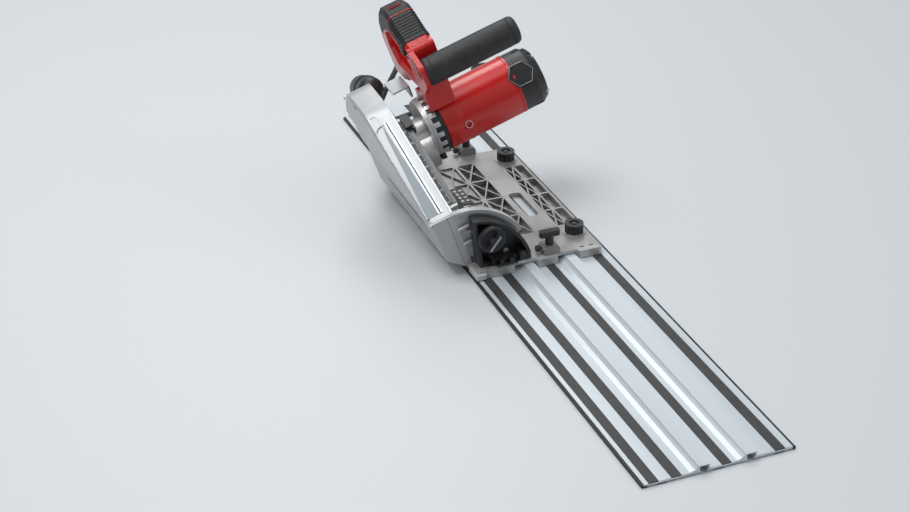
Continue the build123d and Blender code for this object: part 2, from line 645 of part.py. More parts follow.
def gear_housing():
    """Cast case: flange over the guard's slot, gear chamber, fan chamber and the arm to the plunge pin."""
    y, w = BLADE_CENTRE
    case = rod_x(25.4, 13.0, 50.0, y, w)
    case += motor_body(19.0, 19.0, 26.0, 62.0)
    link = outline([(y - 24, w + 6), (y + 24, w - 6), (MOTOR_CENTRE[0] + 19, MOTOR_CENTRE[1]),
                    (MOTOR_CENTRE[0] - 19, MOTOR_CENTRE[1] + 6)])
    case += side_plate(link, 13.0, 50.0)
    shroud = motor_body(MOTOR_RADIUS - 1, MOTOR_FACET, 50.0, MOTOR_FRONT - 0.6)
    case += shroud
    arm = outline([(y + 2, w - 24), (PIVOT[0] - 4, PIVOT[1] - 13), (PIVOT[0] + 4, PIVOT[1] + 13),
                   (y + 14, w + 22)])
    case += side_plate(arm, 13.0, 24.0)
    case += rod_x(13.5, 13.0, 30.0, *PIVOT)
    cover = outline([(y - 30, w + 30), (y - 30, w - 14), (y, w - 25.0), (y + 30, w - 14), (y + 40, w + 30),
                     (y, w + 52)], [8, 8, 8, 8, 8, 10])
    case += side_plate(cover, 13.0, 16.0)
    case -= rod_x(6.0 + FIT, 0, 60, *PIVOT)
    case -= rod_x(9.6, 10, 60, y, w)
    case -= rod_x(17.5, 14.0, 25.0, y, w)
    case -= rod_x(23.6, 26.5, 40.0, y, w)
    case -= rod_x(11.0, 40.5, 48.5, y, w)
    case -= rod_x(8.2, 26.5, 46.0, *MOTOR_CENTRE)
    case -= rod_x(14.0, 50.0, 60.0, *MOTOR_CENTRE)
    case -= rod_x(7.2, 45, 80, *MOTOR_CENTRE)
    case -= motor_body(MOTOR_RADIUS - 4, MOTOR_FACET - 3, 63.0, 81.0)
    case -= rod_x(LOCK_PIN_RADIUS + FIT, 39, 51, *lock_spot())
    case -= rod_x(LOCK_BUTTON_RADIUS + 0.6, 50.0, 62.6, *lock_spot())
    for index in range(9):
        angle = -60 + index * 30
        dy, dw = polar(MOTOR_RADIUS, angle)
        case -= Pos(65.5, MOTOR_CENTRE[0] + dy, MOTOR_CENTRE[1] + dw) * Rot(angle, 0, 0) * Box(7, 14, 6)
    return case


def motor_housing():
    """Moulded shell round the stator, open to the gear case."""
    shell = motor_body(MOTOR_RADIUS, MOTOR_FACET, MOTOR_FRONT, MOTOR_REAR)
    mount = outline([(150, HANDLE_STEP), (150, 150), (200, 150), (196, 168), (HANDLE_FOOT, 176),
                     (HANDLE_FOOT, HANDLE_STEP)], [6, 0, 4, 6, 8, 0])
    ear = outline([(120, 230), (118, 204), (152, 176), (152, 244)], [10, 10, 0, 0])
    shell += side_plate(mount, HANDLE_U - HANDLE_HALF, HANDLE_U + HANDLE_HALF)
    shell += side_plate(ear, HANDLE_U - HANDLE_HALF, AUX_LEFT)
    shell -= motor_body(MOTOR_RADIUS - 3, MOTOR_FACET - 2.5, 50.0, MOTOR_REAR - 2.5)
    shell -= motor_body(MOTOR_RADIUS + 0.2, MOTOR_FACET + 0.2, 50.0, MOTOR_FRONT)
    shell -= rod_x(30.0, 100, 190, *MOTOR_CENTRE)
    return shell - rod_x(AUX_STUD, 50, AUX_LEFT + 1, *AUX_CENTRE)


def motor_end_cap():
    """Vented end cap that carries the rear bearing."""
    cap = motor_body(MOTOR_RADIUS - 0.5, MOTOR_FACET - 0.5, MOTOR_REAR + 0.2, CAP_END)
    cone = loft([Plane(origin=(x, *MOTOR_CENTRE), z_dir=(1, 0, 0)) * Circle(radius)
                 for x, radius in ((MOTOR_REAR, MOTOR_RADIUS + 16), (CAP_END + 1, MOTOR_RADIUS - 9))])
    cap = cap & cone
    cap -= motor_body(MOTOR_RADIUS - 12, MOTOR_FACET - 12, MOTOR_REAR, CAP_END - 3)
    cap += ring_x(14.0, 11.0, 190.0, CAP_END - 2, MOTOR_CENTRE)
    y, w = MOTOR_CENTRE
    cap += block(190, 199, y - 36, y + 36, w - 3, w + 3)
    cap -= rod_x(11.0, 189, CAP_END - 3, *MOTOR_CENTRE)
    for side in (35, 215):
        for index in range(5):
            angle = side + 12 * index
            dy, dw = polar(MOTOR_RADIUS - 6, angle)
            vent = Pos(207, MOTOR_CENTRE[0] + dy, MOTOR_CENTRE[1] + dw) * Rot(angle, 0, 0) * Box(16, 16, 3.2)
            cap -= vent
    return cap


def stator():
    lamination = rod_x(38.0, 86, 140, *MOTOR_CENTRE) - rod_x(23.8, 85, 141, *MOTOR_CENTRE)
    lamination = lamination & motor_body(38.0, MOTOR_FACET - 3.2, 85, 141)
    coils = ring_x(34.0, 24.5, 82.5, 145, MOTOR_CENTRE)
    return lamination + coils


def carbon_brushes():
    parts = []
    for side in (1, -1):
        y = MOTOR_CENTRE[0] + side * 20.0
        w = MOTOR_CENTRE[1]
        holder = block(155, 167, y - 6.5, y + 6.5, w - 5, w + 5) - block(157, 165, y - 8, y + 8, w - 3, w + 3)
        brush = block(157, 165, y - 6.6, y + 4, w - 3, w + 3)
        parts += [holder, brush]
    return parts


# ---------------------------------------------------------------- handles
HANDLE_OUTER = [(150, 178), (150, 243), (184, 262), (214, 279), (244, 273), (268, 248), (284, 214),
                (276, 158), (236, 158), (214, 176)]
HANDLE_OUTER_R = [6, 8, 40, 24, 16, 20, 20, 8, 6, 8]
HANDLE_LOOP = [(176, 192), (172, 212), (180, 222), (222, 241), (246, 232), (250, 206), (238, 190)]
HANDLE_LOOP_R = [6, 6, 6, 10, 10, 8, 5]


def handle_body(skin=0.0, bevel=HANDLE_BEVEL):
    """The whole grip with its finger loop, less a skin of the given thickness."""
    face = inset(outline(HANDLE_OUTER, HANDLE_OUTER_R), skin)
    face -= offset(outline(HANDLE_LOOP, HANDLE_LOOP_R), skin)
    body = side_plate(face, HANDLE_U - HANDLE_HALF + skin, HANDLE_U + HANDLE_HALF - skin)
    for side in (0, -1):
        body = chamfer(body.faces().sort_by(Axis.X)[side].edges(), bevel)
    return body


def handle_cavity():
    """Room inside the grip for the switch."""
    room = outline([(166, 226), (172, 246), (214, 265), (236, 259), (246, 247), (228, 250)],
                   [3, 3, 4, 4, 3, 3])
    return side_plate(room, HANDLE_U - 12, HANDLE_U + 12)


TRIGGER_TURN = (188.0, 232.0)
BUTTON_CENTRE = (172.0, 238.0)


def trigger_window():
    return block(HANDLE_U - 7.6, HANDLE_U + 7.6, 182, 214, 214, 245)


def button_window():
    return rod_x(6.3, HANDLE_U - HANDLE_HALF - 3, HANDLE_U - 9.5, *BUTTON_CENTRE)


def handle_half(left):
    """One half of the moulded handle, thinner where the rubber sleeve covers it."""
    sleeve = sleeve_space()
    body = (handle_body() - sleeve) + (handle_body(HANDLE_SKIN, CORE_BEVEL) & sleeve)
    u0, u1 = (0, HANDLE_U) if left else (HANDLE_U, 2 * HANDLE_U)
    half = body & block(u0, u1, 100, 320, 100, 320)
    half -= handle_cavity() + trigger_window() + button_window()
    half -= block(0, 120, 100, HANDLE_FOOT - 0.1, 100, HANDLE_STEP + 0.3)
    half -= motor_body(MOTOR_RADIUS + 0.4, MOTOR_RADIUS, 50, 120)
    return half - side_plate(outline([(205, 140), (190, 175), (150, 190), (150, 140)]), 50, 120)


def sleeve_space():
    """Region of the grip that the rubber sleeve covers, down to just above the finger loop."""
    zone = outline([(165, 300), (165, 229), (180, 229), (222, 247), (250, 238), (262, 226), (300, 226),
                    (300, 300)])
    return side_plate(zone, HANDLE_U - HANDLE_HALF - 1, HANDLE_U + HANDLE_HALF + 1)


def handle_overmould():
    skin = (handle_body() & sleeve_space()) - handle_body(HANDLE_SKIN, CORE_BEVEL)
    return skin - button_window() - trigger_window()


def trigger():
    """Trigger blade hinged at its front end."""
    y, w = TRIGGER_TURN
    blade = outline([(y - 3, w + 3), (y - 3, w - 4), (y + 6, w - 12), (y + 22, w - 8), (y + 24, w + 4),
                     (y + 8, w + 6)], [2, 3, 4, 4, 2, 2])
    lever = side_plate(blade, HANDLE_U - 7.0, HANDLE_U + 7.0)
    return lever - rod_x(2.0 + FIT, HANDLE_U - 9, HANDLE_U + 9, y, w)


def trigger_pin():
    return rod_x(2.0, HANDLE_U - 11.0, HANDLE_U + 11.0, *TRIGGER_TURN)


def lock_off_button():
    button = rod_x(6.0, HANDLE_U - HANDLE_HALF - 3.5, HANDLE_U - HANDLE_HALF + 5.5, *BUTTON_CENTRE)
    return fillet(button.edges().sort_by(Axis.X)[0], 1.2)


def switch_module():
    return block(HANDLE_U - 9, HANDLE_U + 9, 208, 232, 251, 258)


def aux_handle():
    """Front grip: a rubber-covered bar held by a stud in the motor housing's ear."""
    grip = rod_x(AUX_RADIUS, AUX_LEFT + 0.3, AUX_RIGHT, *AUX_CENTRE)
    grip = fillet(grip.edges().filter_by(GeomType.CIRCLE).sort_by(Axis.X)[-1], 5)
    grip -= ring_x(AUX_RADIUS + 1, AUX_RADIUS - 1.2, AUX_RIGHT - 12, AUX_RIGHT - 10, AUX_CENTRE)
    return grip + rod_x(AUX_STUD, HANDLE_U - HANDLE_HALF + 1, AUX_LEFT + 1, *AUX_CENTRE)


def stop_bracket():
    """Pressed bracket between the handle's foot and the top of the guard."""
    outer = HANDLE_U - HANDLE_HALF + 0.2
    plate = outline([(222, 157.6), (272, 157.6), (268, 140), (226, 138)], [0, 0, 4, 4])
    web = block(36, outer, 226, 262, 154.6, 157.6)
    return side_plate(plate, outer - 3, outer) + web


def spindle_lock():
    """Button whose pin drops into the driven gear for blade changes."""
    pin = rod_x(LOCK_PIN_RADIUS, 40.5, 57.0, *lock_spot())
    return pin + rod_x(LOCK_BUTTON_RADIUS, 56.0, 61.5, *lock_spot())


BOOT_START = (75.0, 279.0, 172.0)
BOOT_LENGTH = 42.0
BOOT_GAP = 3.0             # the boot tilts with the saw, clear of the lead's first free stretch
BOOT_FALL = 37.0


def cord_boot():
    """Tapered strain relief."""
    along = Vector(0, cos(radians(BOOT_FALL)), -sin(radians(BOOT_FALL)))
    start = Vector(*BOOT_START)
    wide = Plane(origin=start - along * 4, z_dir=along) * Circle(8.0)
    narrow = Plane(origin=start + along * BOOT_LENGTH, z_dir=along) * Circle(5.4)
    boot = loft([wide, narrow])
    for index in range(4):
        at = start + along * (12 + index * 7)
        groove = extrude(Plane(origin=at, z_dir=along) * (Circle(12) - Circle(5.2)), amount=1.6)
        boot -= groove
    return boot


def housing_screws():
    spots = [(MOTOR_CENTRE[0] + dy, MOTOR_CENTRE[1] + dw) for dy, dw in
             (polar(MOTOR_RADIUS - 8, a) for a in (20, 110, 200))]
    return [rod_x(2.6, CAP_END - 3.5, CAP_END + 0.2, y, w) for y, w in spots]


# ---------------------------------------------------------------- mains cord
def cord_start():
    """Point and direction, in the row frame, where the cord leaves the strain relief."""
    lean = radians(BEVEL_REST)
    fall = radians(BOOT_FALL)
    reach = BOOT_LENGTH + BOOT_GAP
    u, y, w = BOOT_START[0], BOOT_START[1] + cos(fall) * reach, BOOT_START[2] - sin(fall) * reach
    return Vector(BEVEL_X + u * cos(lean) - w * sin(lean), y, u * sin(lean) + w * cos(lean)), \
        Vector(sin(lean) * sin(fall), cos(fall), -cos(lean) * sin(fall))


def cord_points():
    start, along = cord_start()
    return [start, start + along * 40, Vector(-72, 378, 88), Vector(-80, 396, 40), Vector(-62, 418, 16),
            Vector(-30, 438, 17.2), Vector(6, 446, 17.2), Vector(42, 448, 17.6), Vector(77, 446.5, 15.0),
            Vector(110, 443, 11.5), Vector(141, 441.5, 8.6)]


def cord_radii(points):
    radii = []
    for before, corner, after in zip(points, points[1:], points[2:]):
        turn = (corner - before).get_angle(after - corner)
        shorter = min((corner - before).length, (after - corner).length)
        radii.append(0.45 * shorter / tan(radians(turn) / 2))
    return radii


def mains_cord():
    points = cord_points()
    radii = cord_radii(points)
    path = FilletPolyline(*points, radius=radii)
    print("cord radii", [round(r, 1) for r in radii])
    print("cord runs", [round((b - a).length, 1) for a, b in zip(points, points[1:])])
    start_plane = Plane(origin=path @ 0, z_dir=path % 0)
    tube = sweep(start_plane * Circle(CORD_DIAMETER / 2), path=path)
    print("cord length", round(path.length, 1), "volume ratio",
          round(tube.volume / (path.length * pi * CORD_DIAMETER ** 2 / 4), 4))
    return tube


def cord_coil():
    """Outer shape of the put-away length: a ring of turns lying on the surface."""
    x, y = COIL_CENTRE
    top = COIL_LIFT + 2 * COIL_BAND
    ring = rod_z(COIL_MID_RADIUS + COIL_BAND, COIL_LIFT, top, x, y) \
        - rod_z(COIL_MID_RADIUS - COIL_BAND, 0, top + 1, x, y)
    return fillet(ring.edges(), 3.5)


def coil_tie():
    """Strap round the coil's section."""
    x, y = COIL_CENTRE[0] - COIL_MID_RADIUS, COIL_CENTRE[1]
    half_width = 6.0
    inner = COIL_BAND + 0.1
    outer = inner + COIL_LIFT
    strap = block(x - outer, x + outer, y - half_width, y + half_width, 0, 2 * (COIL_LIFT + COIL_BAND))
    return strap - block(x - inner, x + inner, y - 20, y + 20, COIL_LIFT, COIL_LIFT + 2 * COIL_BAND)


def mains_plug():
    """Two-pin plug lying on top of the coil."""
    x, z = PLUG_X, COIL_LIFT + 2 * COIL_BAND + PLUG_HALF_HEIGHT
    back = PLUG_BACK - 16.0
    nose = back - 32.0
    body = block(x - 17.5, x + 17.5, nose, back, z - PLUG_HALF_HEIGHT, z + PLUG_HALF_HEIGHT)
    body = fillet(body.edges().filter_by(Axis.Y), 8)
    relief = loft([Plane(origin=(x, y, z), z_dir=(0, 1, 0)) * Circle(radius)
                   for y, radius in ((back - 1, 7.5), (PLUG_BACK, 4.8))])
    pins = [rod_y(2.4, nose - 18, nose + 1, x + side * 9.5, z) for side in (-1, 1)]
    return body + relief + pins[0] + pins[1]


# ---------------------------------------------------------------- write the sub-parts
def main():
    os.makedirs("parts", exist_ok=True)
    save("rail_extrusion", rail_extrusion())
    save("glide_strips", *glide_strips())
    save("edge_strips", *edge_strips())
    save("anti_slip_strips", *anti_slip_strips())

    save("base_plate", base_plate())
    save("front_bevel_bracket", bevel_bracket(True))
    save("rear_bevel_bracket", bevel_bracket(False))
    save("bevel_studs", *bevel_studs())
    save("fence_brackets", *[fence_bracket(x, y) for x, y in FENCE_SCREWS])
    save("cut_indicator", cut_indicator())
    save("front_bevel_knob", bevel_knob(True))
    save("rear_bevel_knob", bevel_knob(False))
    for place, spot in zip(("front", "rear"), GUIDE_KNOBS):
        save(f"{place}_guide_knob", guide_knob(*spot))
    for place, spot in zip(("front", "rear"), FENCE_SCREWS):
        save(f"{place}_fence_screw", fence_screw(*spot))
    save("mains_cord", mains_cord())
    save("cord_coil", cord_coil())
    save("coil_tie", coil_tie())
    save("mains_plug", mains_plug())

    leaning = {
        "guard_outer": guard_outer(), "guard_inner": guard_inner(),
        "front_quadrant": front_quadrant(), "rear_quadrant": quadrant(285.0, 290.0),
        "depth_scale": depth_scale(), "depth_rack": depth_rack(), "depth_stop": depth_stop(),
        "plunge_pin": plunge_pin(), "dust_port": dust_port(),
        "driven_gear": driven_gear(), "arbor": arbor(), "saw_blade": saw_blade(),
        "inner_flange": inner_flange(), "outer_flange": outer_flange(), "blade_bolt": blade_bolt(),
        "rotor": rotor(), "pinion": pinion(), "cooling_fan": cooling_fan(), "commutator": commutator(),
        "gear_housing": gear_housing(), "motor_housing": motor_housing(),
        "motor_end_cap": motor_end_cap(), "stator": stator(),
        "handle_shell_left": handle_half(True), "handle_shell_right": handle_half(False),
        "handle_overmould": handle_overmould(), "trigger": trigger(), "trigger_pin": trigger_pin(),
        "lock_off_button": lock_off_button(), "switch_module": switch_module(),
        "aux_handle": aux_handle(), "stop_bracket": stop_bracket(), "spindle_lock": spindle_lock(),
        "cord_boot": cord_boot(),
    }
    groups = {
        "guard_screws": guard_screws(), "arbor_bearings": arbor_bearings(),
        "motor_bearings": motor_bearings(), "carbon_brushes": carbon_brushes(),
        "housing_screws": housing_screws(), "plunge_spring": plunge_spring(),
    }
    for name, part in leaning.items():
        save(name, part, lean=True)
    for name, parts in groups.items():
        save(name, *parts, lean=True)


if __name__ == "__main__":
    main()
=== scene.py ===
import json
from math import atan2, cos, pi, radians, sin

import bmesh
import bpy
from mathutils import Matrix, Vector


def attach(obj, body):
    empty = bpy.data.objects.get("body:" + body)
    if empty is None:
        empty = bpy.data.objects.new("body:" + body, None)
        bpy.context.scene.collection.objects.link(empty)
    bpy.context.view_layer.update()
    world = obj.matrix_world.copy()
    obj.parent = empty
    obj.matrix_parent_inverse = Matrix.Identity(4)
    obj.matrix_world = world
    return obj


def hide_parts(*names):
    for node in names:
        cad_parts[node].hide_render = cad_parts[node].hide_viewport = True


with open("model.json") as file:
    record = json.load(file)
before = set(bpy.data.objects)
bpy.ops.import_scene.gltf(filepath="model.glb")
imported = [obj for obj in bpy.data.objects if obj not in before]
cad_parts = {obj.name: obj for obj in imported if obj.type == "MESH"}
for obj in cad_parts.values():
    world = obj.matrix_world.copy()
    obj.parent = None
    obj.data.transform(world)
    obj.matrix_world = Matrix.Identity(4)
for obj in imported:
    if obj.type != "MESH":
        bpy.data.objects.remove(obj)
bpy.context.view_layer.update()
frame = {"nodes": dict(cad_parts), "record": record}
scene = bpy.context.scene
nodes = frame["nodes"]

MM = 0.001
BEVEL_AXIS_X = -96
BEVEL_ANGLE = 18
BASE_TOP = 16

# The saw leans by BEVEL_ANGLE about the bevel axis.  Pieces on the saw are modelled upright, in
# (u, y, w): u out of the blade towards the motor, y along the rail, w up.  LEAN tilts them.
LEAN = Matrix.Translation((BEVEL_AXIS_X * MM, 0, 0)) @ Matrix.Rotation(radians(-BEVEL_ANGLE), 4, "Y")
UPRIGHT = LEAN.inverted()


# ---------------------------------------------------------------- camera
CAMERA_PLACE = (-0.8631, -1.9448, 1.2205)
CAMERA_AZIMUTH, CAMERA_ELEVATION, CAMERA_ROLL = -21.12, 29.74, -1.03
SENSOR_WIDTH, FOCAL_LENGTH = 36.0, 74.2


def make_camera():
    """Camera at the angle that the saw is looked at from."""
    azimuth, elevation, roll = radians(CAMERA_AZIMUTH), radians(CAMERA_ELEVATION), radians(CAMERA_ROLL)
    back = Vector((sin(azimuth) * cos(elevation), -cos(azimuth) * cos(elevation), sin(elevation)))
    level = (-back).cross(Vector((0, 0, 1))).normalized()
    upward = level.cross(-back)
    right = cos(roll) * level + sin(roll) * upward
    up = cos(roll) * upward - sin(roll) * level
    camera = bpy.data.objects.new("camera", bpy.data.cameras.new("camera"))
    turn = Matrix((right, up, back)).transposed().to_4x4()
    camera.matrix_world = Matrix.Translation(CAMERA_PLACE) @ turn
    camera.data.sensor_width = SENSOR_WIDTH
    camera.data.lens = FOCAL_LENGTH
    camera.data.clip_end = 50
    scene.collection.objects.link(camera)
    scene.camera = camera


make_camera()


# ---------------------------------------------------------------- floor and light
FLOOR_HALF = 12
FLOOR_DROP = 0.0002
SUBJECT = (0, 0.1, 0.1)


def make_floor():
    """Pale floor just under the rail."""
    mesh = bpy.data.meshes.new("floor")
    half = FLOOR_HALF
    corners = [(-half, -half, 0), (half, -half, 0), (half, half, 0), (-half, half, 0)]
    mesh.from_pydata(corners, [], [(0, 1, 2, 3)])
    floor = bpy.data.objects.new("floor", mesh)
    scene.collection.objects.link(floor)
    material = bpy.data.materials.new("floor")
    material.use_nodes = True
    shader = material.node_tree.nodes["Principled BSDF"]
    shader.inputs["Base Color"].default_value = (0.62, 0.645, 0.67, 1)
    shader.inputs["Roughness"].default_value = 0.45
    mesh.materials.append(material)
    floor.location.z = -FLOOR_DROP


def make_light(name, place, size, watts):
    """Square area light that faces the saw."""
    light = bpy.data.objects.new(name, bpy.data.lights.new(name, "AREA"))
    light.data.size = size
    light.data.energy = watts
    light.location = place
    light.rotation_mode = "QUATERNION"
    light.rotation_quaternion = (Vector(SUBJECT) - Vector(place)).to_track_quat("-Z", "Y")
    scene.collection.objects.link(light)


make_floor()
make_light("key", (-1.2, 0.3, 2.8), 1.3, 44)
make_light("fill", (2.2, -1.6, 1.9), 1.6, 12)
make_light("back", (0.4, 2.4, 2.4), 1.4, 26)
world = bpy.data.worlds.new("studio")
scene.world = world
world.use_nodes = True


def light_sky():
    """Soft sky, brightest overhead and dim below the horizon."""
    tree = world.node_tree
    place = tree.nodes.new("ShaderNodeTexCoord")
    split = tree.nodes.new("ShaderNodeSeparateXYZ")
    ramp = tree.nodes.new("ShaderNodeValToRGB")
    ramp.color_ramp.elements[0].position = 0.0
    ramp.color_ramp.elements[0].color = (0.28, 0.275, 0.27, 1)
    ramp.color_ramp.elements[1].position = 0.9
    ramp.color_ramp.elements[1].color = (0.93, 0.97, 1.0, 1)
    tree.links.new(place.outputs["Generated"], split.inputs["Vector"])
    tree.links.new(split.outputs["Z"], ramp.inputs["Fac"])
    tree.links.new(ramp.outputs["Color"], tree.nodes["Background"].inputs["Color"])
    tree.nodes["Background"].inputs["Strength"].default_value = 0.62


light_sky()
scene.view_settings.view_transform = "Standard"


# ---------------------------------------------------------------- materials
def material(name, colour, variation=0.12, scale=60.0, roughness=0.5, metallic=0.0, bump=0.1,
             bump_scale=900.0, wear=0.0, coat=0.0, streaks=(1, 1, 1)):
    """Principled surface with mottled colour, uneven roughness and fine bump; wear lightens the edges."""
    made = bpy.data.materials.new(name)
    made.use_nodes = True
    tree = made.node_tree
    shader = tree.nodes["Principled BSDF"]
    shader.inputs["Metallic"].default_value = metallic
    if coat:
        shader.inputs["Coat Weight"].default_value = coat
        shader.inputs["Coat Roughness"].default_value = 0.12
    place = tree.nodes.new("ShaderNodeTexCoord")
    stretch = tree.nodes.new("ShaderNodeMapping")
    stretch.inputs["Scale"].default_value = streaks
    tree.links.new(place.outputs["Object"], stretch.inputs["Vector"])
    mottle = tree.nodes.new("ShaderNodeTexNoise")
    mottle.inputs["Scale"].default_value = scale
    mottle.inputs["Detail"].default_value = 6
    tree.links.new(stretch.outputs["Vector"], mottle.inputs["Vector"])
    ramp = tree.nodes.new("ShaderNodeValToRGB")
    dark = [c * (1 - variation) for c in colour]
    light = [min(1, c * (1 + variation)) for c in colour]
    ramp.color_ramp.elements[0].position = 0.3
    ramp.color_ramp.elements[0].color = (*dark, 1)
    ramp.color_ramp.elements[1].position = 0.7
    ramp.color_ramp.elements[1].color = (*light, 1)
    tree.links.new(mottle.outputs["Fac"], ramp.inputs["Fac"])
    colour_out = ramp.outputs["Color"]
    if wear:
        edge = tree.nodes.new("ShaderNodeNewGeometry")
        sharp = tree.nodes.new("ShaderNodeMapRange")
        sharp.inputs["From Min"].default_value = 0.52
        sharp.inputs["From Max"].default_value = 0.62
        sharp.inputs["To Max"].default_value = wear
        tree.links.new(edge.outputs["Pointiness"], sharp.inputs["Value"])
        mix = tree.nodes.new("ShaderNodeMix")
        mix.data_type = "RGBA"
        mix.inputs["B"].default_value = (*[min(1, c * 1.5 + 0.12) for c in colour], 1)
        tree.links.new(sharp.outputs["Result"], mix.inputs["Factor"])
        tree.links.new(colour_out, mix.inputs["A"])
        colour_out = mix.outputs["Result"]
    tree.links.new(colour_out, shader.inputs["Base Color"])
    rough = tree.nodes.new("ShaderNodeMapRange")
    rough.inputs["To Min"].default_value = max(0.05, roughness - 0.08)
    rough.inputs["To Max"].default_value = min(1, roughness + 0.08)
    tree.links.new(mottle.outputs["Fac"], rough.inputs["Value"])
    tree.links.new(rough.outputs["Result"], shader.inputs["Roughness"])
    if bump:
        grain = tree.nodes.new("ShaderNodeTexNoise")
        grain.inputs["Scale"].default_value = bump_scale
        grain.inputs["Detail"].default_value = 3
        tree.links.new(stretch.outputs["Vector"], grain.inputs["Vector"])
        raised = tree.nodes.new("ShaderNodeBump")
        raised.inputs["Strength"].default_value = bump
        raised.inputs["Distance"].default_value = 0.0004
        tree.links.new(grain.outputs["Fac"], raised.inputs["Height"])
        tree.links.new(raised.outputs["Normal"], shader.inputs["Normal"])
    return made


LOOKS = {
    "rail_aluminium": material("rail_aluminium", (0.60, 0.655, 0.69), 0.04, 30, 0.36, 0.3, 0.05, 400,
                               streaks=(1, 0.03, 1)),
    "glide_plastic": material("glide_plastic", (0.035, 0.037, 0.04), 0.2, 120, 0.5, bump=0.2),
    # Also drawn as painted shade in the slots of the base's front edge.
    "edge_rubber": material("edge_rubber", (0.012, 0.012, 0.013), 0.2, 120, 0.6, bump=0.2),
    "cast_base": material("cast_base", (0.36, 0.355, 0.35), 0.10, 45, 0.42, 0.55, 0.25, 1400, wear=0.5),
    "black_plastic": material("black_plastic", (0.016, 0.017, 0.019), 0.2, 90, 0.42, bump=0.2, wear=0.1),
    "grip_rubber": material("grip_rubber", (0.02, 0.02, 0.021), 0.35, 70, 0.55, bump=0.4, bump_scale=700),
    "red_plastic": material("red_plastic", (0.62, 0.008, 0.006), 0.06, 14, 0.3, bump=0.04, bump_scale=300,
                            coat=0.35),
    "guard_paint": material("guard_paint", (0.42, 0.43, 0.44), 0.05, 35, 0.36, 0.3, 0.12, 1200, wear=0.3),
    "cast_metal": material("cast_metal", (0.50, 0.505, 0.51), 0.10, 55, 0.42, 0.7, 0.35, 1100, wear=0.4),
    "bracket_grey": material("bracket_grey", (0.20, 0.195, 0.19), 0.12, 60, 0.45, 0.5, 0.3, 900, wear=0.3),
    "zinc_steel": material("zinc_steel", (0.52, 0.55, 0.58), 0.05, 40, 0.34, 0.5, 0.05, 500),
    "steel": material("steel", (0.55, 0.56, 0.57), 0.10, 80, 0.3, 1.0, 0.15, 600),
    "blade_steel": material("blade_steel", (0.6, 0.61, 0.62), 0.06, 50, 0.26, 1.0, 0.1, 500),
    "iron": material("iron", (0.16, 0.12, 0.10), 0.15, 60, 0.5, 0.8, 0.2),
    "brass": material("brass", (0.72, 0.42, 0.2), 0.10, 60, 0.35, 1.0, 0.1),
    "clear_plastic": material("clear_plastic", (0.5, 0.52, 0.55), 0.06, 30, 0.25, bump=0.05),
    "cord_rubber": material("cord_rubber", (0.014, 0.014, 0.015), 0.15, 200, 0.5, bump=0.2),
    "strap": material("strap", (0.02, 0.02, 0.022), 0.3, 400, 0.8, bump=0.8, bump_scale=1500),
    # Lighter copy of the guard paint: a painted highlight for the guard's bead, ridges, rim and nose band,
    # and for the boss's lip.
    "bright_paint": material("bright_paint", (0.60, 0.64, 0.67), 0.05, 35, 0.3, 0.3, 0.1, 1200, wear=0.2),
    "panel_paint": material("panel_paint", (0.20, 0.23, 0.25), 0.07, 30, 0.42, 0.35, 0.15, 1200, wear=0.2),
    "white_print": material("white_print", (0.75, 0.76, 0.76), 0.05, 200, 0.5, bump=0.05),
    "dark_line": material("dark_line", (0.18, 0.004, 0.004), 0.1, 100, 0.5, bump=0.05),
    "knob_grey": material("knob_grey", (0.34, 0.33, 0.38), 0.06, 120, 0.35, bump=0.1),
    "graphite": material("graphite", (0.07, 0.072, 0.075), 0.25, 140, 0.4, 0.6, 0.4, 900, wear=0.4),
}


SPECIAL = {"depth_rack": "graphite"}

# Body, material slot and look of the pieces that are added here.
SAW_RED = ("saw_head", "red_plastic", "red_plastic")
SAW_BLACK = ("saw_head", "black_plastic", "black_plastic")
SAW_RUBBER = ("saw_head", "grip_rubber", "grip_rubber")
SAW_CAST = ("saw_head", "cast_metal", "cast_metal")
# Guard paint drawn lighter: a painted highlight where the guard's raised edges catch the light.
GUARD_PAINTED_HIGHLIGHT = ("bevel_frame", "guard_paint", "bright_paint")
GUARD_PANEL = ("bevel_frame", "guard_paint", "panel_paint")
# Dark strips on the guard: the seam line is a dark joint, while the groove and the slots are painted shade.
GUARD_SEAM_AND_PAINTED_SHADE = ("bevel_frame", "guard_paint", "black_plastic")
SCALE_PRINT = ("bevel_frame", "clear_plastic", "white_print")
BASE_PRINT = ("carriage", "clear_plastic", "white_print")
BASE_BLACK = ("carriage", "black_plastic", "black_plastic")
CLAMP_BLACK = ("front_clamp", "black_plastic", "black_plastic")


def dress_nodes():
    """Gives every CAD node the look of its own, or of its material slot."""
    for part in frame["record"]["subparts"]:
        node = nodes[part["node"]]
        node.data.materials.clear()
        node.data.materials.append(LOOKS[SPECIAL.get(part["node"], part["material_slot"])])


dress_nodes()


# ---------------------------------------------------------------- mains lead
LEAD_WIDTH = 7.6
LEAD = LEAD_WIDTH * MM
COIL = Vector((156, 494, 0)) * MM
COIL_RADIUS = 45.5
COIL_FLOOR = 5.0
COIL_TURNS = 9
TURNS_BESIDE = 3
COIL_STEPS = 14
ROUTE = [(-70.0, 312.5, 162.7), (-62.6, 344.5, 139.8), (-72, 378, 88), (-80, 396, 40), (-62, 418, 16),
         (-30, 438, 17.2), (6, 446, 17.2), (42, 448, 17.6), (77, 446.5, 15.0), (110, 443, 11.5),
         (141, 441.5, 8.6)]
# Angle, radius and height of the half turn over the coil, then the way back to the plug inside it.
OVER = [(-70, 38.0, 26.6), (-45, 40.0, 28.0), (-15, 43.0, 28.0), (15, 46.0, 28.0), (45, 48.0, 28.0),
        (70, 48.5, 28.0)]
TO_PLUG = [(154, 542, 28.4), (137, 537, 30.5), (126, 526, 33.2), (123.5, 511, 34), (123.5, 499, 34)]


def polar(radius, angle):
    """Point at a radius and an angle in degrees."""
    return radius * cos(radians(angle)), radius * sin(radians(angle))


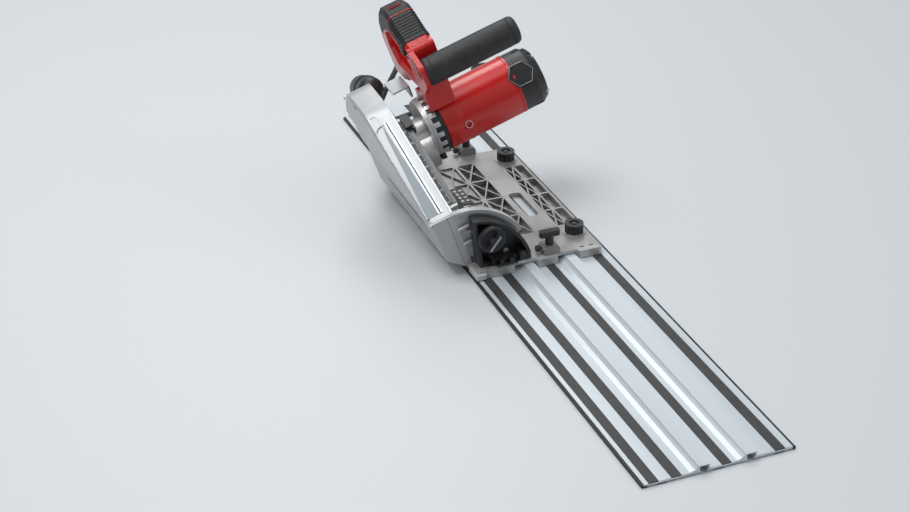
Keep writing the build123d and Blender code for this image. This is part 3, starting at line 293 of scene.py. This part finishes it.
def coil_points():
    """Nine turns, three beside three, each layer on top of the last."""
    points = []
    for turn in range(COIL_TURNS):
        layer, place = divmod(turn, TURNS_BESIDE)
        place = place if layer % 2 else 2 - place
        for step in range(COIL_STEPS):
            share = step / COIL_STEPS
            angle = radians(-90 + 360 * share) + radians(20)
            radius = COIL_RADIUS + (place - 1) * LEAD_WIDTH
            height = COIL_FLOOR + layer * LEAD_WIDTH
            points.append(COIL + Vector((radius * cos(angle), radius * sin(angle), height)) * MM)
    return points


def tail_points():
    """Half a turn over the top of the coil, then back to the plug that lies inside it."""
    points = [COIL + Vector((*polar(radius, angle), height)) * MM for angle, radius, height in OVER]
    return points + [Vector(p) * MM for p in TO_PLUG]


lead_points = [Vector(p) * MM for p in ROUTE] + coil_points() + tail_points()


def make_lead():
    """The whole mains lead, from the strain relief through the coil to the plug."""
    curve = bpy.data.curves.new("mains_lead", "CURVE")
    curve.dimensions = "3D"
    curve.bevel_depth = LEAD / 2
    curve.bevel_resolution = 4
    curve.resolution_u = 6
    curve.use_fill_caps = True
    line = curve.splines.new("NURBS")
    line.points.add(len(lead_points) - 1)
    for point, place in zip(line.points, lead_points):
        point.co = (*place, 1)
    line.order_u = 3
    line.use_endpoint_u = True
    lead = bpy.data.objects.new("mains_lead", curve)
    scene.collection.objects.link(lead)
    curve.materials.append(LOOKS["cord_rubber"])
    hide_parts("mains_cord", "cord_coil")
    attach(lead, "carriage")
    return lead


lead = make_lead()


# ---------------------------------------------------------------- mesh helpers
def link_piece(name, data, body, slot, look, replaced=()):
    """Makes an object of a mesh or curve, gives it its look and lets it ride on a body."""
    piece = bpy.data.objects.new(name, data)
    scene.collection.objects.link(piece)
    data.materials.append(LOOKS[look])
    if replaced:
        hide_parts(*replaced)
    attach(piece, body)
    return piece


def frame_of(origin, x_dir, y_dir, lean=True):
    """Matrix of a local frame given in millimetres, leaned with the saw or not."""
    x_axis, y_axis = Vector(x_dir).normalized(), Vector(y_dir).normalized()
    axes = Matrix((x_axis, y_axis, x_axis.cross(y_axis))).transposed().to_4x4()
    local = Matrix.Translation(Vector(origin) * MM) @ axes
    return LEAN @ local if lean else local


def rounded(points, radii, steps=5):
    """Outline with its corners rounded by arcs."""
    result = []
    count = len(points)
    for index, radius in enumerate(radii):
        corner = Vector(points[index])
        before = (Vector(points[index - 1]) - corner).normalized()
        after = (Vector(points[(index + 1) % count]) - corner).normalized()
        if radius == 0:
            result.append(tuple(corner))
            continue
        half = before.angle(after) / 2
        centre = corner + (before + after).normalized() * radius / sin(half)
        start = corner + before * radius / (sin(half) / cos(half)) - centre
        end = corner + after * radius / (sin(half) / cos(half)) - centre
        for step in range(steps + 1):
            share = step / steps
            arm = start.slerp(end, share)
            result.append(tuple(centre + arm))
    return result


def new_bevel(piece, width, segments=3):
    """Rounds the sharp edges of a piece."""
    modifier = piece.modifiers.new("edges", "BEVEL")
    modifier.width = width * MM
    modifier.segments = segments
    modifier.limit_method = "ANGLE"
    modifier.angle_limit = radians(35)


def prism(name, outline, low, high, place, body, slot, look, edge=0.25, replaced=()):
    """Outline in the local XY plane of a frame, extruded from low to high along its Z, edges rounded."""
    work = bmesh.new()
    bottom = [work.verts.new(place @ (Vector((x, y, low)) * MM)) for x, y in outline]
    top = [work.verts.new(place @ (Vector((x, y, high)) * MM)) for x, y in outline]
    work.faces.new(list(reversed(bottom)))
    work.faces.new(top)
    for index in range(len(outline)):
        after = (index + 1) % len(outline)
        work.faces.new((bottom[index], bottom[after], top[after], top[index]))
    bmesh.ops.recalc_face_normals(work, faces=work.faces)
    mesh = bpy.data.meshes.new(name)
    work.to_mesh(mesh)
    work.free()
    piece = link_piece(name, mesh, body, slot, look, replaced)
    if edge:
        new_bevel(piece, edge)
    mesh.shade_smooth()
    modifier = piece.modifiers.new("weighted", "WEIGHTED_NORMAL")
    modifier.keep_sharp = True
    return piece


def rectangle(x0, x1, y0, y1, radius=0.0):
    """Outline of a rectangle, its corners rounded if a radius is given."""
    corners = [(x0, y0), (x1, y0), (x1, y1), (x0, y1)]
    return rounded(corners, [radius] * 4) if radius else corners


def lathe(name, profile, place, body, slot, look, steps=48, replaced=(), ring=False):
    """Profile of (radius, height) turned about the local Z axis, closed into a ring or capped at its ends."""
    work = bmesh.new()
    rings = []
    for radius, height in profile:
        if radius == 0:
            rings.append([work.verts.new(place @ Vector((0, 0, height * MM)))])
            continue
        turn = [2 * pi * k / steps for k in range(steps)]
        circle = [Vector((radius * cos(angle), radius * sin(angle), height)) * MM for angle in turn]
        rings.append([work.verts.new(place @ point) for point in circle])
    for lower, upper in zip(rings, rings[1:] + rings[:1] if ring else rings[1:]):
        for k in range(steps):
            after = (k + 1) % steps
            quad = [lower[k % len(lower)], lower[after % len(lower)]]
            quad += [upper[after % len(upper)], upper[k % len(upper)]]
            work.faces.new(list(dict.fromkeys(quad)))
    if not ring and len(rings[0]) > 1:
        work.faces.new(list(reversed(rings[0])))
    if not ring and len(rings[-1]) > 1:
        work.faces.new(rings[-1])
    bmesh.ops.recalc_face_normals(work, faces=work.faces)
    mesh = bpy.data.meshes.new(name)
    work.to_mesh(mesh)
    work.free()
    mesh.shade_smooth()
    piece = link_piece(name, mesh, body, slot, look, replaced)
    new_bevel(piece, 0.2, 2)
    return piece


def wire(name, points, radius, body, slot, look, closed=False, lean=True):
    """Round bead along points in millimetres."""
    curve = bpy.data.curves.new(name, "CURVE")
    curve.dimensions = "3D"
    curve.bevel_depth = radius * MM
    curve.bevel_resolution = 3
    curve.use_fill_caps = True
    line = curve.splines.new("POLY")
    line.points.add(len(points) - 1)
    matrix = LEAN if lean else Matrix.Identity(4)
    for point, place in zip(line.points, points):
        point.co = (*(matrix @ (Vector(place) * MM)), 1)
    line.use_cyclic_u = closed
    return link_piece(name, curve, body, slot, look)


# ---------------------------------------------------------------- guard
SLOPE_FOOT = 92
SLOPE = atan2(185 - SLOPE_FOOT, 164)
RISE = (0, cos(SLOPE), sin(SLOPE))


def slope_frame():
    """Frame on the guard's sloping top: X up the slope, Y to the left (away from the motor), Z outwards."""
    return frame_of((0, 0, SLOPE_FOOT), RISE, (-1, 0, 0))


def slope_point(u, s, height):
    """Point in (u, y, w) at a distance s up the guard's sloping top."""
    return (u, s * cos(SLOPE) - height * sin(SLOPE), SLOPE_FOOT + s * sin(SLOPE) + height * cos(SLOPE))


def guard_details():
    """Panel, ridges and bead on the guard's slope, its nose band, seam, pins and slots. Ridges, bead, rim and
    nose band are drawn in a painted highlight; the groove and the slots are painted shade.
    """
    top = slope_frame()
    panel = rounded([(9, 4.6), (160, 4.6), (160, 19.5), (9, 19.5)], [1, 3, 11, 1])
    prism("guard_panel", panel, -0.6, 0.5, top, *GUARD_PANEL, 0.2)
    # The bead along the top face's outer edge is drawn lighter than the guard: a painted highlight.
    edge = [slope_point(-20.3, s, 0.5) for s in range(9, 150, 10)]
    for angle in range(0, 91, 10):
        across, along = polar(1, angle)
        edge.append(slope_point(-9.5 - 10.8 * across, 149 + 11.6 * along, 0.5))
    edge.append(slope_point(-4.4, 160.6, 0.5))
    wire("guard_bead", edge, 0.75, *GUARD_PAINTED_HIGHLIGHT)
    # The two ridges are drawn lighter than the guard: a painted highlight on them.
    for index, offset in enumerate((-3.4, 0.6)):
        strip = rectangle(9, 162, -offset - 0.9, -offset + 0.9, 0.6)
        prism(f"guard_ridge_{index + 1}", strip, -0.6, 0.9, top, *GUARD_PAINTED_HIGHLIGHT, 0.3)
    # Dark strip in the gap between the ridges: painted shade.
    prism("guard_groove_shade", rectangle(9, 162, 0.6, 2.2), -0.5, 0.12, top, *GUARD_SEAM_AND_PAINTED_SHADE, 0)
    # The rim is drawn lighter than the guard: a painted highlight.
    rim = rounded(rectangle(2, 166, -12.2, -9.6), [1] * 4)
    prism("guard_rim", rim, -1.0, 0.8, top, *GUARD_PAINTED_HIGHLIGHT, 0.5)
    nose = frame_of((0, 0, 0), (1, 0, 0), (0, 0, 1))
    prism("guard_seam", rectangle(1.75, 2.25, 14.5, 91.6), 0.02, 0.12, nose, *GUARD_SEAM_AND_PAINTED_SHADE, 0)
    # The band along the top of the nose's arc is a painted highlight where its top edge catches the light,
    # drawn in the lighter guard paint.
    sweep = [17 + k * 65.5 / 20 for k in range(21)]
    outer = [polar(92.3, a) for a in sweep] + [(-20, 92.1), (-22.6, 90.4), (-23.3, 88.5)]
    inner = [(-22.2, 88.6), (-21.6, 89.8), (-19.6, 90.9)] + [polar(90.9, 82.5 - (a - 17)) for a in sweep]
    prism("nose_highlight_band", outer + inner, -7.2, 1.4, nose, *GUARD_PAINTED_HIGHLIGHT, 0.4)
    for index, (w, length) in enumerate(((66.5, 13), (43.6, 10))):
        pin = frame_of((12.0, -1.2, w), (0, 1, 0), (0, 0, 1))
        profile = [(0, -3.0), (1.6, -2.9), (2.4, -2.0), (2.6, -0.6), (2.6, length)]
        lathe(f"quadrant_pin_{index + 1}", profile, pin, "bevel_frame", "steel", "zinc_steel", 24)
    # Two dark sheets on the guard's side: painted shade inside its slots.
    for index, (y, w, turn) in enumerate(((196, 181.5, 10), (250, 171, -40))):
        across, up = polar(1, turn)
        slot = frame_of((-23.05, y, w), (0, across, up), (0, -up, across))
        prism(f"guard_slot_shade_{index + 1}", rectangle(-5, 5, -1.4, 1.4, 1.3), -0.35, 0.06, slot, *GUARD_SEAM_AND_PAINTED_SHADE, 0)


SCALE_START = 21
SCALE_MARKS, MARK_PITCH = 67, 2
SCALE_TENS, TEN_PITCH = 7, 20


def depth_scale_marks():
    """Generic marks and tens along the depth scale."""
    face = frame_of((16.2, 0, SLOPE_FOOT - 4.6), RISE, (-1, 0, 0)) @ Matrix.Translation((0, 0, 1.42 * MM))
    work = bmesh.new()
    for index in range(SCALE_MARKS):
        s = SCALE_START + index * MARK_PITCH
        reach = -3.1 + (3.4 if index % 5 == 0 else 1.9)
        corners = rectangle(s - 0.22, s + 0.22, -3.1, reach)
        bottom = [work.verts.new(face @ (Vector((x, y, -0.1)) * MM)) for x, y in corners]
        top = [work.verts.new(face @ (Vector((x, y, 0.12)) * MM)) for x, y in corners]
        work.faces.new(top)
        for k in range(4):
            work.faces.new((bottom[k], bottom[(k + 1) % 4], top[(k + 1) % 4], top[k]))
    bmesh.ops.recalc_face_normals(work, faces=work.faces)
    mesh = bpy.data.meshes.new("scale_marks")
    work.to_mesh(mesh)
    work.free()
    link_piece("scale_marks", mesh, *SCALE_PRINT)
    sideways = Matrix.Rotation(radians(-90), 4, "Z")
    for index in range(SCALE_TENS):
        text = bpy.data.curves.new(f"scale_number_{index}", "FONT")
        text.body = str(index * 10)
        text.size = 3.6 * MM
        text.extrude = 0.05 * MM
        text.align_x = "CENTER"
        text.align_y = "CENTER"
        number = link_piece(f"scale_number_{index}", text, *SCALE_PRINT)
        spot = Vector((SCALE_START + index * TEN_PITCH, 1.9, 0.1)) * MM
        number.matrix_world = face @ Matrix.Translation(spot) @ sideways


# ---------------------------------------------------------------- head
MOTOR = Vector((0, 181.07, 113.04))
LOW, HIGH = -37, 150
SHELL_RADIUS = 42.4
FAN_TEETH, TOOTH_PITCH, TOOTH_WIDTH = 9, 19, 9


def on_motor(radius, angle, u):
    """Point on the motor's round side; the angle runs from the front (0) over the top (90)."""
    return (u, MOTOR.y - radius * cos(radians(angle)), MOTOR.z + radius * sin(radians(angle)))


def motor_patch(radius, angle, u):
    """Frame that lies on the motor's side: X along the motor, Y up round it, Z outwards."""
    return frame_of(on_motor(radius, angle, u), (1, 0, 0), (0, sin(radians(angle)), cos(radians(angle))))


def shell_strip(name, radius, thickness, angles, u0, u1, body, slot, look, steps=24):
    """Curved strip wrapped round the motor between two angles."""
    first, last = angles
    work = bmesh.new()
    rows = []
    for step in range(steps + 1):
        angle = first + (last - first) * step / steps
        outside = radius + thickness
        corners = ((radius, u0), (radius, u1), (outside, u1), (outside, u0))
        rows.append([work.verts.new(LEAN @ (Vector(on_motor(r, angle, u)) * MM)) for r, u in corners])
    for before, after in zip(rows, rows[1:]):
        for k in range(4):
            work.faces.new((before[k], before[(k + 1) % 4], after[(k + 1) % 4], after[k]))
    work.faces.new(rows[0])
    work.faces.new(list(reversed(rows[-1])))
    bmesh.ops.recalc_face_normals(work, faces=work.faces)
    mesh = bpy.data.meshes.new(name)
    work.to_mesh(mesh)
    work.free()
    piece = link_piece(name, mesh, body, slot, look)
    new_bevel(piece, 0.2, 2)
    mesh.shade_smooth()
    return piece


def head_details():
    """Fan ring with its comb, rims of the motor shell, the boss on it with a painted highlight on its lip,
    and the slots of its end cap.
    """
    shell_strip("fan_band", 41.2, 0.9, (LOW, HIGH), 57.5, 71.6, *SAW_BLACK, 60)
    for index in range(FAN_TEETH):
        angle = -34 + index * TOOTH_PITCH
        shell_strip(f"fan_tooth_{index + 1}", 41.6, 1.6, (angle, angle + TOOTH_WIDTH), 56.5, 66, *SAW_CAST, 5)
    shell_strip("case_rim", 41.0, 1.6, (LOW, HIGH), 53.5, 57.6, *SAW_CAST, 60)
    shell_strip("motor_flange", SHELL_RADIUS, 0.9, (LOW, 142), 181.5, 184.8, *SAW_RED, 60)
    shell_strip("motor_step", SHELL_RADIUS, 0.7, (LOW, 60), 72.2, 98, *SAW_RED, 40)
    boss = frame_of(on_motor(41, 2, 101), (1, 0, 0), (0, 0.28, 0.96))
    profile = [(9.0, -1.0), (7.5, 1.6), (5.4, 3.4), (4.9, 3.9), (4.0, 3.9), (3.4, 3.2), (3.3, 0.5), (0, 0.5)]
    lathe("screw_boss", profile, boss, *SAW_RED, 40)
    # Light ring on the boss's lip: a painted highlight on the red plastic.
    rim = [(5.3, 3.5), (5.0, 4.15), (4.3, 4.15), (4.1, 3.5)]
    lathe("boss_rim", rim, boss, "saw_head", "red_plastic", "bright_paint", 40, ring=True)
    for index in range(6):
        place = motor_patch(36.3, 58 + index * 13, 213.5)
        slot = rectangle(-5.5, 6.5, -1.6, 1.6, 1.2)
        prism(f"cap_slot_{index + 1}", slot, -1, 1.9, place, "saw_head", "black_plastic", "edge_rubber", 0.2)


def cap_panel():
    """Hexagonal plate on the end cap, with a thin bright line inside its edge."""
    place = motor_patch(39.6, 42, 193)
    hexagon = [polar(20.0, 60 * k) for k in range(6)]
    hexagon = [(x, y * 0.95) for x, y in hexagon]
    prism("cap_plate", rounded(hexagon, [1.5] * 6), -8, 3.6, place, *SAW_BLACK, 0.6)
    inside = rounded([(x * 0.93, y * 0.93) for x, y in hexagon], [1.3] * 6)
    ring = [UPRIGHT @ place @ (Vector((x, y, 3.6)) * MM) / MM for x, y in inside]
    wire("cap_line", ring, 0.4, "saw_head", "black_plastic", "steel", closed=True)


# ---------------------------------------------------------------- handles
HANDLE_U, HANDLE_HALF, HANDLE_BEVEL = 80, 18.5, 5.0
GRIP_RIBS, RIB_STEP = 8, 0.026
RIDGE = [(150, 243), (184, 262), (214, 279), (244, 273), (268, 248), (284, 214)]


def ridge_point(share):
    """Point and direction on the grip's ridge; share runs from 0 at the foot to 1 at the far end."""
    lengths = [(Vector(b) - Vector(a)).length for a, b in zip(RIDGE, RIDGE[1:])]
    want = share * sum(lengths)
    for (a, b), length in zip(zip(RIDGE, RIDGE[1:]), lengths):
        if want <= length:
            direction = (Vector(b) - Vector(a)) / length
            return Vector(a) + direction * want, direction
        want -= length
    return Vector(RIDGE[-1]), direction


def band_over(share, proud, reach, width, name, finish):
    """Rib that wraps over the grip's ridge and part of the way down both sides."""
    half, bevel = HANDLE_HALF, HANDLE_BEVEL
    point, direction = ridge_point(share)
    across = [(-half - proud, -reach), (-half - proud, -bevel), (-half + bevel - proud * 0.4, proud),
              (half - bevel + proud * 0.4, proud), (half + proud, -bevel), (half + proud, -reach)]
    inner = [(half - 0.3, -reach), (half - 0.3, -bevel), (half - bevel, -0.3), (-half + bevel, -0.3),
             (-half + 0.3, -bevel), (-half + 0.3, -reach)]
    place = frame_of((HANDLE_U, point.x, point.y), (1, 0, 0), (0, -direction.y, direction.x))
    prism(name, across + inner, -width / 2, width / 2, place, *finish, 0.35)


def handle_details():
    """Ribs, ring and collar of the rubber grip, the seam in front of them and the plate at its end."""
    for index in range(GRIP_RIBS):
        band_over(0.139 + index * RIB_STEP, 0.9, 15, 2.4, f"grip_rib_{index + 1}", SAW_RUBBER)
    band_over(0.352, 0.8, 22, 1.3, "grip_ring", SAW_RED)
    band_over(0.108, 1.5, 20, 5.5, "grip_collar", SAW_RUBBER)
    seam = []
    for k in range(5):
        point, direction = ridge_point(0.02 + 0.022 * k)
        seam.append((HANDLE_U, point.x - direction.y * 0.05, point.y + direction.x * 0.05))
    wire("handle_seam", seam, 0.3, "saw_head", "red_plastic", "dark_line")
    point, direction = ridge_point(0.47)
    place = frame_of((HANDLE_U, point.x, point.y), (1, 0, 0), (0, direction.x, direction.y))
    plate = rounded([(-9.5, -8), (9.5, -8), (9.5, 7), (-9.5, 7)], [2, 2, 2, 2])
    insert = rounded([(-8, -6.5), (8, -6.5), (8, 5.5), (-8, 5.5)], [1.5] * 4)
    prism("grip_end_frame", plate, -0.3, 0.9, place, *SAW_RED, 0.3)
    prism("grip_end_insert", insert, -0.3, 1.5, place, *SAW_RUBBER, 0.3)
    stripe = [(61.2, 166, 228.4), (61.2, 180, 229.6), (61.2, 200, 238.2), (61.2, 220, 247.2)]
    wire("handle_stripe", stripe, 0.9, *SAW_RED)


def front_grip():
    """Rubber grip with a seam groove, a rounded shoulder and a lens-shaped recess in its end."""
    place = frame_of((0, 130, 218), (0, 1, 0), (0, 0, 1))
    shoulder = [(6.0, 62.5), (6.0, 68.4), (15.5, 68.5), (17.6, 69.4), (18.6, 71.5)]
    body = [(18.8, 76.0), (18.3, 76.6), (18.3, 77.4), (18.9, 78.2), (19.0, 100), (19.0, 150), (19.0, 190.0)]
    far_end = [(18.2, 190.8), (18.2, 191.8), (19.0, 192.6), (18.8, 197.5), (17.2, 200.8), (14.8, 202.0),
               (12.8, 201.6), (11.0, 199.6), (0, 199.2)]
    lathe("front_grip", shoulder + body + far_end, place, *SAW_RUBBER, 64, ("aux_handle",))


# ---------------------------------------------------------------- base
STUD_RADIUS, STUD_ANGLE = 63, 67
BRACKET_RADIUS = 84.4


def bevel_knob():
    """Disc with a raised grip bar, on the front bevel stud."""
    x, z = polar(STUD_RADIUS, STUD_ANGLE)
    place = frame_of((BEVEL_AXIS_X + x, 0, z), (1, 0, 0), (0, 0, 1), lean=False)
    disc = [(4.1, 21.0), (16.5, 21.0), (18.0, 22.2), (18.0, 28.6), (17.2, 29.7), (15.6, 30.0), (15.2, 29.4),
            (0, 29.4)]
    lathe("bevel_knob", disc, place, *CLAMP_BLACK, 64, ("front_bevel_knob",))
    bar = rounded([(-16.8, -6.6), (16.8, -6.6), (16.8, 6.6), (-16.8, 6.6)], [6.2] * 4, 8)
    turned = place @ Matrix.Rotation(radians(52), 4, "Z")
    prism("bevel_knob_bar", bar, 29.0, 40.0, turned, *CLAMP_BLACK, 1.2)
    face = rounded([(-15.2, -4.8), (15.2, -4.8), (15.2, 4.8), (-15.2, 4.8)], [4.5] * 4, 8)
    prism("bevel_knob_cap", face, 39.5, 40.4, turned, "front_clamp", "black_plastic", "knob_grey", 0.3)


def base_details():
    """Label plate, thumb screws, painted shade in the slots of the base's front edge, and lip and screws of
    the bevel bracket.
    """
    flat = Matrix.Translation((0, 0, BASE_TOP * MM))
    plate = rounded([(-45, 143), (-24, 143), (-24, 197), (-45, 197)], [3.5] * 4)
    prism("label_plate", plate, 0, 1.2, flat, *BASE_BLACK, 0.3)
    for index in range(4):
        mark = rectangle(-41.0, -37.0, 153 + index * 10, 159 + index * 10, 1.0)
        prism(f"label_mark_{index + 1}", mark, 1.15, 1.35, flat, *BASE_PRINT, 0)
        dash = rectangle(-33.5, -29.0, 154 + index * 10, 157.5 + index * 10, 0.8)
        prism(f"label_dash_{index + 1}", dash, 1.15, 1.35, flat, *BASE_PRINT, 0)
    for index, (x, y) in enumerate(((14, -14), (21, 293))):
        place = frame_of((x - 10.9, y, 23.2), (0, 1, 0), (0, 0, 1), lean=False) @ Matrix.Rotation(pi, 4, "Y")
        profile = [(0, -0.5), (1.8, -0.5), (1.8, 3.0), (4.2, 3.2), (4.6, 4.0), (4.6, 7.4), (3.8, 8.2),
                   (1.6, 8.3), (0, 7.6)]
        lathe(f"thumb_screw_{index + 1}", profile, place, "carriage", "steel", "black_plastic", 20)
    # Dark sheets on the base's front edge: painted shade inside its slots.
    for index, x in enumerate((58.0, 71.0)):
        slot = rectangle(x - 3.4, x + 3.4, -21, -18.6, 1.0)
        prism(f"base_slot_shade_{index + 1}", slot, -0.4, 0.05, flat, "carriage", "cast_base", "edge_rubber", 0)
    sweep = [polar(BRACKET_RADIUS, 64 - k * 4) for k in range(13)]
    rim = [(BEVEL_AXIS_X + x, -20.4, z) for x, z in sweep]
    wire("bracket_lip", rim, 0.5, *BASE_BLACK, lean=False)
    for index, (x, z) in enumerate(((30, 30), (52, 26))):
        place = frame_of((BEVEL_AXIS_X + x, -5, z), (1, 0, 0), (0, 0, 1), lean=False)
        profile = [(3.6, 0), (3.6, 2.2), (3.1, 2.8), (1.7, 2.8), (1.6, 1.4), (0, 1.2)]
        lathe(f"bracket_screw_{index + 1}", profile, place, "carriage", "steel", "zinc_steel", 20)


def stop_bracket_piece():
    """Folded sheet bracket between the grip's foot and the guard's top, with one edge turned down."""
    section = [(36.2, 154.8), (58.7, 154.8), (58.7, 139.5), (61.6, 139.5), (61.6, 157.5), (36.2, 157.5)]
    place = frame_of((0, 0, 0), (1, 0, 0), (0, 0, 1))
    prism("folded_bracket", section, -262, -226, place, "saw_head", "zinc_steel", "zinc_steel", 0.6,
          ("stop_bracket",))


guard_details()
depth_scale_marks()
head_details()
cap_panel()
handle_details()
front_grip()
bevel_knob()
base_details()
stop_bracket_piece()
